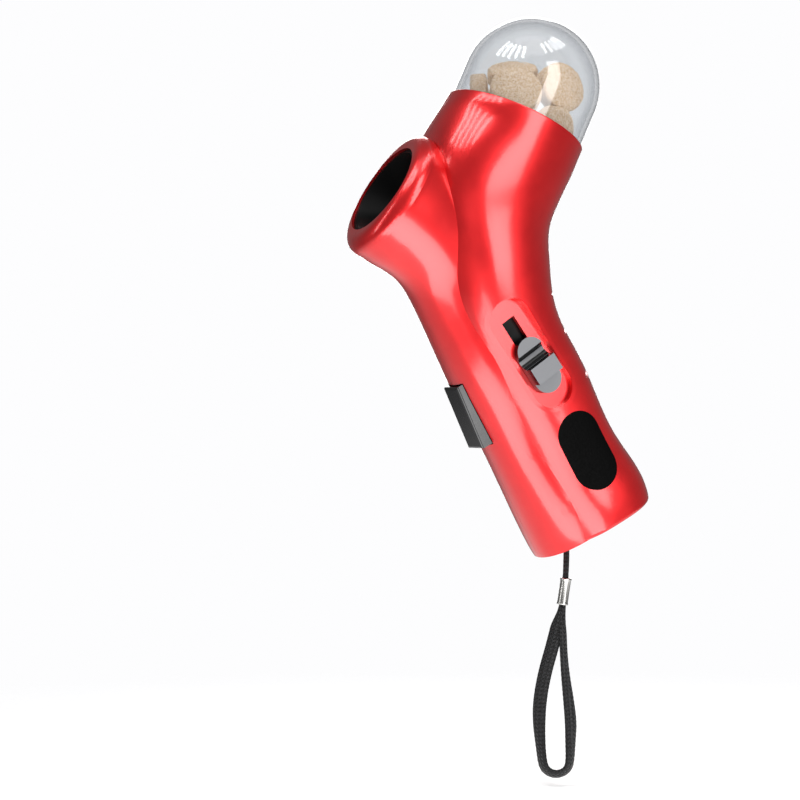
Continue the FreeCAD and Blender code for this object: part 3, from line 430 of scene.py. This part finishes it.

# %% [markdown]
# ## The black plastics
# Four black finishes differ only in their surface: the muzzle's liner is deep and matt, the button
# is polished, the slider's knob is polished with a painted highlight, grey and matt, on its outer
# faces, and the parts inside are plain moulded nylon. The painted highlight is picked by the way a
# face points, so it stays on the tops.

# %% Black plastics
def moulded(name, base, rough, grain, depth, shine=0.5):
    """Moulded thermoplastic with a grain of this size and depth in millimetres."""
    material, tree, shader, place = finish(name, base, IOR=1.53, Specular_IOR_Level=shine)
    grit = add(tree, "TexNoise", {"Vector": place, "Scale": per_mm(grain),
                                  "Detail": 2.0}).outputs["Fac"]
    wear = add(tree, "TexNoise", {"Vector": place, "Scale": per_mm(9),
                                  "Detail": 4.0}).outputs["Fac"]
    tree.links.new(spread(tree, wear, rough * 0.8, rough * 1.25), shader.inputs["Roughness"])
    relief(tree, shader, grit, depth)
    print(name)
    return material


muzzle_black = moulded("deep_black_abs", "020202", 0.45, 1.2, 0.003, 0.12)
gloss_black = moulded("polished_black_abs", "08090A", 0.14, 0.35, 0.004)
knob_plastic, tree, shader, _ = finish("black_knob_with_painted_grey_highlight", "08090A", IOR=1.53)
facing = tree.nodes["Texture Coordinate"].outputs["Normal"]
outward = add(tree, "SeparateXYZ", {0: facing}).outputs["Y"]
# Painted highlight: the knob's outward-facing tops are painted a matt grey that stands in for the
# lights' reflection.
painted_highlight_mask = spread(tree, outward, 1.0, 0.0, -0.985, -0.95)
tree.links.new(two_tone(tree, painted_highlight_mask, "08090A", "6F7073"), shader.inputs["Base Color"])
tree.links.new(spread(tree, painted_highlight_mask, 0.14, 0.5, 0.0, 1.0), shader.inputs["Roughness"])
inner_plastic = moulded("black_moulded_nylon", "060607", 0.5, 0.5, 0.012, 0.2)

# %% [markdown]
# ## Rubber, silicone and steel
# The side pads are soft rubber with a leathery pebble about 0.8 mm across. The dome's seal and the
# plunger's face are smooth silicone. Springs, pins, crimp and screws are metal with faint drawn
# lines.

# %% Rubber, silicone and metals
pad_rubber, tree, shader, place = finish("pebbled_black_rubber", "020202", Roughness=0.7, IOR=1.5,
                                         Specular_IOR_Level=0.05)
pebble = add(tree, "TexVoronoi", {"Vector": place, "Scale": per_mm(0.8)},
             feature="SMOOTH_F1").outputs["Distance"]
relief(tree, shader, pebble, -0.12, 0.9)
tree.links.new(spread(tree, pebble, 0.5, 0.72, 0.0, 0.6), shader.inputs["Roughness"])

seal_silicone = moulded("smooth_grey_silicone", "2A2B2D", 0.4, 0.8, 0.006)


def metal(name, base, rough, line):
    """Metal with fine lines of this width in millimetres along Z."""
    material, tree, shader, place = finish(name, base, Metallic=1.0)
    drawn = add(tree, "Mapping", {"Vector": place, "Scale": (1, 1, 0.08)}).outputs["Vector"]
    lines = add(tree, "TexNoise", {"Vector": drawn, "Scale": per_mm(line),
                                   "Detail": 3.0}).outputs["Fac"]
    tree.links.new(spread(tree, lines, rough * 0.7, rough * 1.4), shader.inputs["Roughness"])
    relief(tree, shader, lines, 0.01, 0.5)
    print(name)
    return material


spring_steel = metal("drawn_spring_steel", "A9ABAE", 0.28, 0.25)
crimp_nickel = metal("nickel_plated_brass", "C9C8C4", 0.24, 0.15)
screw_zinc = metal("black_zinc_steel", "4A4B4E", 0.35, 0.3)

# %% [markdown]
# ## The clear dome
# The dome is blow-moulded clear plastic with a wall of about a millimetre and a half. Full
# transmission at the IOR of acrylic gives its grey rim and its double window reflections, and a
# painted shade darkens the wall's slight tint where the wall is seen edge on. A trace of roughness
# keeps the highlights from looking like cut glass.

# %% Clear dome
dome_clear, tree, shader, place = finish("clear_acrylic", "EEF1F3", IOR=1.49,
                                         Transmission_Weight=1.0, Roughness=0.0)
# Painted shade: where the wall is seen edge on, the colour turns from the wall's slight tint to a
# darker grey, for the dome's dark rim.
edge_on = add(tree, "LayerWeight", {"Blend": 0.5}).outputs["Facing"]
painted_edge_shade = two_tone(tree, spread(tree, edge_on, 0, 1, 0.4, 1.0), "E9EBED", "80848A")
tree.links.new(painted_edge_shade, shader.inputs["Base Color"])
haze = add(tree, "TexNoise", {"Vector": place, "Scale": per_mm(12), "Detail": 3.0}).outputs["Fac"]
tree.links.new(spread(tree, haze, 0.0, 0.03, 0.45, 0.75), shader.inputs["Roughness"])
print(dome_clear.name)

# %% [markdown]
# ## Give the CAD nodes their finishes
# A node whose solid already has the right shape keeps it, and only its material slot changes.

# %% Finishes for the nodes
FINISHES = (
    (lacquer, "shell_left shell_right"),
    (muzzle_black, "muzzle_liner slot_shutter"),
    (gloss_black, "slider_arm push_button"),
    (knob_plastic, "slider_knob"),
    (inner_plastic, "barrel_tube hopper_funnel barrel_end_plug plunger_piston plunger_rod"
                    " sear_lever"),
    (seal_silicone, "plunger_bumper dome_seal"),
    (spring_steel, "sear_spring button_spring launch_spring sear_pin lanyard_pin"),
    (pad_rubber, "grip_pad_left grip_pad_right"),
    (dome_clear, "treat_dome"),
)
for material, names in FINISHES:
    for name in names.split():
        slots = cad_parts[name].data.materials
        if len(slots):
            slots[0] = material
        else:
            slots.append(material)
    print(material.name, "on", names)

# %% [markdown]
# ## Nylon yarns
# Seen close, the braid is columns of small chevrons. They are reckoned from the strap's own UV
# map, whose length is in millimetres: a sine along the strap that is delayed towards each
# column's sides. The grooves are painted near black as shade and the crowns a lighter black as a
# painted highlight, and the bump lets the crowns glint.

# %% Nylon
BRAID_COLUMNS = 10              # columns of chevrons round the strap
CHEVRON = 1.5                   # length of one chevron along the strap
nylon, tree, shader, _ = finish("braided_black_nylon", "060607", Roughness=0.42,
                                Specular_IOR_Level=0.4)
strap_uv = add(tree, "SeparateXYZ", {0: add(tree, "UVMap", uv_map="UVMap").outputs["UV"]}).outputs


def reckon(operation, first, second=0.0):
    """Output of one Math node in the nylon's tree."""
    return add(tree, "Math", {0: first, 1: second}, operation=operation).outputs["Value"]


column = reckon("FRACT", reckon("MULTIPLY", strap_uv["X"], BRAID_COLUMNS))
aside = reckon("ABSOLUTE", reckon("SUBTRACT", column, 0.5))
row = reckon("ADD", reckon("DIVIDE", strap_uv["Y"], CHEVRON), aside)
yarn = reckon("MULTIPLY", reckon("ABSOLUTE", reckon("SINE", reckon("MULTIPLY", row, math.pi))),
              reckon("SUBTRACT", 1.0, reckon("MULTIPLY", aside, 1.2)))
# Painted shade and highlight: the grooves between yarns are painted near black, and the crowns a
# lighter grey that stands in for their glints.
painted_yarn_shade_and_glint = two_tone(tree, spread(tree, yarn, 0, 1, 0.3, 0.9), "010101", "1E1E21")
tree.links.new(painted_yarn_shade_and_glint, shader.inputs["Base Color"])
relief(tree, shader, yarn, 0.35, 1.0)
strap.data.materials.append(nylon)
print(nylon.name)

# %% [markdown]
# ## Baked biscuit
# The treats are baked from coarse meal: sandy, with darker bran and pits. Fine noise gives the
# meal its grain and its rough surface, and a cell pattern scatters the bran.

# %% Biscuit
biscuit, tree, shader, place = finish("baked_meal_biscuit", "B88F5C", Roughness=0.88, IOR=1.45)
meal = add(tree, "TexNoise", {"Vector": place, "Scale": per_mm(0.8), "Detail": 6.0,
                              "Roughness": 0.7}).outputs["Fac"]
bran = add(tree, "TexVoronoi", {"Vector": place, "Scale": per_mm(1.2)}).outputs["Distance"]
body = two_tone(tree, spread(tree, meal, 0, 1, 0.35, 0.65), "D6AF86", "F6E2C9")
speck = two_tone(tree, spread(tree, bran, 0.5, 0.0, 0.08, 0.24), body, "9C6E45")
tree.links.new(speck, shader.inputs["Base Color"])
relief(tree, shader, meal, 0.3, 1.0)
print(biscuit.name)

# %% [markdown]
# ## The treats
# Each treat is a round biscuit 19 mm across. A disc is bevelled, its faces are inset into rings,
# and every point is then pushed in by three scales of noise: a slow one that makes the rim uneven
# and two quicker ones for the crumb. The noise only ever cuts in, so the treats stay clear of
# each other.

# %% Treats
COLLAR = Vector((-12.43, 0, 114.99))               # middle of the collar's mouth
TREAT_RADIUS, TREAT_THICK, TREAT_ROUND = 9.5, 6.4, 1.4
CAP_RINGS, CAP_STEP = 8, 0.9                       # rings that a disc's face is inset into
# Each treat's place from the collar's mouth, then its heading and rise in degrees.
TREAT_PLACES = (
    (-4.7, -10.1, 9.7, -15, 25), (3.0, 9.3, 18.1, -30, 68), (16.1, -3.5, 12.6, 10, 12),
    (-11.7, 5.0, 8.2, 64, 5), (9.0, -12.0, -4.1, 28, -8), (4.6, 15.2, 1.8, 183, 14),
    (12.9, 4.5, -6.6, 120, 10), (-6.2, 0, -13.1, 90, 65), (-9.0, 0, -19.2, 90, 65),
    (-11.8, 0, -25.3, 90, 65), (-14.6, 0, -31.4, 90, 65))
CRUMB = ((4.5, 0.16), (1.6, 0.2), (0.8, 0.12))     # size and depth of each scale of noise


def crumb(place):
    """Depth of the surface below the disc, in millimetres."""
    return sum(depth * max(0.0, 0.5 + noise.noise(place / size)) for size, depth in CRUMB)


def biscuit_disc(bm, centre, heading, rise):
    """One crumbly disc, added to the bmesh that holds them all."""
    disc = bmesh.new()
    bmesh.ops.create_cone(disc, cap_ends=True, segments=72, radius1=TREAT_RADIUS * MM,
                          radius2=TREAT_RADIUS * MM, depth=TREAT_THICK * MM)
    caps = [face for face in disc.faces if len(face.verts) > 4]
    rims = list({edge for face in caps for edge in face.edges})
    bmesh.ops.bevel(disc, geom=rims, offset=TREAT_ROUND * MM, segments=4, profile=0.5,
                    affect="EDGES", material=-1)
    walls = [edge for edge in disc.edges
             if abs(edge.verts[0].co.z - edge.verts[1].co.z) > TREAT_THICK / 2 * MM]
    bmesh.ops.subdivide_edges(disc, edges=walls, cuts=3)
    for cap in [face for face in disc.faces if len(face.verts) > 4]:
        for _ in range(CAP_RINGS):
            bmesh.ops.inset_region(disc, faces=[cap], thickness=CAP_STEP * MM)
        bmesh.ops.poke(disc, faces=[cap])
    disc.normal_update()
    # The centre is added to the place, so that no two treats have the same crumb.
    for vert in disc.verts:
        vert.co -= vert.normal * crumb(vert.co / MM + Vector(centre) * 3) * MM
    h, r = math.radians(heading), math.radians(rise)
    facing = Vector((math.cos(r) * math.sin(h), -math.cos(r) * math.cos(h), math.sin(r)))
    resting = Matrix.Translation((COLLAR + Vector(centre)) * MM) \
        @ facing.to_track_quat("Z", "Y").to_matrix().to_4x4()
    bmesh.ops.transform(disc, verts=disc.verts, matrix=resting)
    loose = bpy.data.meshes.new("disc")
    disc.to_mesh(loose)
    disc.free()
    bm.from_mesh(loose)
    bpy.data.meshes.remove(loose)


bm = bmesh.new()
for x, y, z, heading, rise in TREAT_PLACES:
    biscuit_disc(bm, (x, y, z), heading, rise)
treats = piece("crumbly_treats", bm)
treats.data.materials.append(biscuit)
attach(treats, "housing")
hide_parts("treats")

# %% [markdown]
# ## The crimp
# A nickel-plated sleeve is squeezed round the two ends of the strap. Its wall is a closed profile
# spun round the strap, a little waisted where the tool closed it, with a rolled lip at each end.

# %% Crimp
# Distance down the sleeve and radius there, in millimetres.
CRIMP_PROFILE = ((0.0, 1.94), (0.15, 2.1), (0.5, 2.12), (0.8, 2.0), (1.1, 1.96), (4.9, 1.93),
                 (8.7, 1.96), (9.0, 2.0), (9.3, 2.12), (9.65, 2.1), (9.8, 1.94), (9.8, 1.72),
                 (0.0, 1.72))
crimp_above, crimp_below = STRAP_ROUTE[1:3]         # the crimp lies between these two points
crimp_start = on_strap(*crimp_above)
crimp_run = (on_strap(*crimp_below) - crimp_start).normalized()
bm = bmesh.new()
profile = [bm.verts.new((radius * MM, 0, down * MM)) for down, radius in CRIMP_PROFILE]
edges = [bm.edges.new((a, b)) for a, b in zip(profile, profile[1:] + profile[:1])]
bmesh.ops.spin(bm, geom=profile + edges, cent=(0, 0, 0), axis=(0, 0, 1), angle=2 * math.pi,
               steps=40, use_merge=True, use_duplicate=False)
bmesh.ops.recalc_face_normals(bm, faces=bm.faces)
crimp_place = Matrix.Translation(crimp_start + crimp_run * (CRIMP_TOP - crimp_above[1]) * MM) \
    @ crimp_run.to_track_quat("Z", "Y").to_matrix().to_4x4()
bmesh.ops.transform(bm, matrix=crimp_place, verts=bm.verts)
crimp = piece("pressed_crimp", bm)
crimp.data.materials.append(crimp_nickel)
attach(crimp, "housing")
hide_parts("strap_crimp")

# %% [markdown]
# ## The shell's screws
# Five small pan-head screws hold the shell's halves from the far side. Each head has a domed edge
# and a cross recess. A square grid is drawn out round, the cross is pressed into its middle faces,
# and the rim is extruded down as the head's side and the shank.

# %% Screws
UP_HANDLE, BACK_HANDLE = Vector((-0.4833, 0, 0.8755)), Vector((0.8755, 0, 0.4833))
# Places in the shell's middle plane, by distances up the handle and towards its back.
SCREW_PLACES = [UP_HANDLE * up + BACK_HANDLE * back
                for up, back in ((-22, 13.5), (-22, -11), (8, 15.8), (34, 17))]
SCREW_PLACES.append(Vector((-7.5, 0, 70)))
HEAD_RADIUS, HEAD_THICK = 2.55, 1.75
HEAD_SEAT, SHANK_END = 8.0, -8.9                   # ends of the shank from the middle plane
SHANK_RADIUS = 1.1
EDGE_DROP, TOP_DROP, TOP_SHARE = 0.35, 0.02, 0.9   # the head's domed edge
CROSS_HALF, CROSS_REACH, CROSS_DEPTH = 0.28, 1.5, 1.0
CORNER_SHARE = 0.62                                # where the cross's inner corners lie


def drawn_round(x, y):
    """Place of a square grid's point once the grid is drawn out round the cross."""
    far = max(abs(x), abs(y))
    if far > 0.9:
        return Vector((x, y, 0)).normalized() * HEAD_RADIUS
    if far > 0.5 and abs(abs(x) - abs(y)) < 0.1:
        return Vector((x, y, 0)).normalized() * HEAD_RADIUS * CORNER_SHARE
    return Vector([math.copysign(CROSS_HALF if abs(side) < 0.5 else CROSS_REACH, side)
                   for side in (x, y)] + [0])


def in_cross(face):
    """Whether a face of the drawn-out grid lies in one of the cross's arms."""
    middle = face.calc_center_median()
    return middle.length < 1.2 and min(abs(middle.x), abs(middle.y)) < 0.2


def screw(bm, centre):
    """Head, cross recess and shank of one screw that points along -Y."""
    before = set(bm.verts)
    grid = bmesh.ops.create_grid(bm, x_segments=5, y_segments=5, size=1.0)["verts"]
    for vert in grid:
        vert.co = drawn_round(vert.co.x, vert.co.y)
    top = [face for face in bm.faces if all(vert in grid for vert in face.verts)]
    cross = [face for face in top if in_cross(face)]
    pushed = bmesh.ops.extrude_face_region(bm, geom=cross)["geom"]
    bmesh.ops.delete(bm, geom=cross, context="FACES_ONLY")
    bmesh.ops.translate(bm, vec=(0, 0, -CROSS_DEPTH), verts=of_kind(pushed, bmesh.types.BMVert))
    fresh = set(bm.verts) - before
    rim = [edge for edge in bm.edges if edge.verts[0] in fresh and edge.is_boundary]
    for drop, radius in ((EDGE_DROP, HEAD_RADIUS), (HEAD_THICK, HEAD_RADIUS),
                         (HEAD_THICK, SHANK_RADIUS),
                         (HEAD_SEAT + HEAD_THICK - SHANK_END, SHANK_RADIUS)):
        made = bmesh.ops.extrude_edge_only(bm, edges=rim)["geom"]
        rim = of_kind(made, bmesh.types.BMEdge)
        for vert in of_kind(made, bmesh.types.BMVert):
            flat = Vector((vert.co.x, vert.co.y, 0)).normalized() * radius
            vert.co = Vector((flat.x, flat.y, -drop))
    bmesh.ops.contextual_create(bm, geom=rim)
    for vert in grid:
        if vert.co.xy.length > HEAD_RADIUS * 0.95:
            vert.co = Vector((vert.co.x * TOP_SHARE, vert.co.y * TOP_SHARE, -TOP_DROP))
    turned = Matrix.Translation((centre + Vector((0, HEAD_SEAT + HEAD_THICK, 0))) * MM) \
        @ Matrix.Rotation(-math.pi / 2, 4, "X") @ Matrix.Scale(MM, 4)
    bmesh.ops.transform(bm, matrix=turned, verts=[vert for vert in bm.verts if vert not in before])


bm = bmesh.new()
for centre in SCREW_PLACES:
    screw(bm, centre)
bmesh.ops.recalc_face_normals(bm, faces=bm.faces)
screws = piece("cross_head_screws", bm, smooth=False)
screws.data.materials.append(screw_zinc)
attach(screws, "housing")
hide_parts("shell_screws")
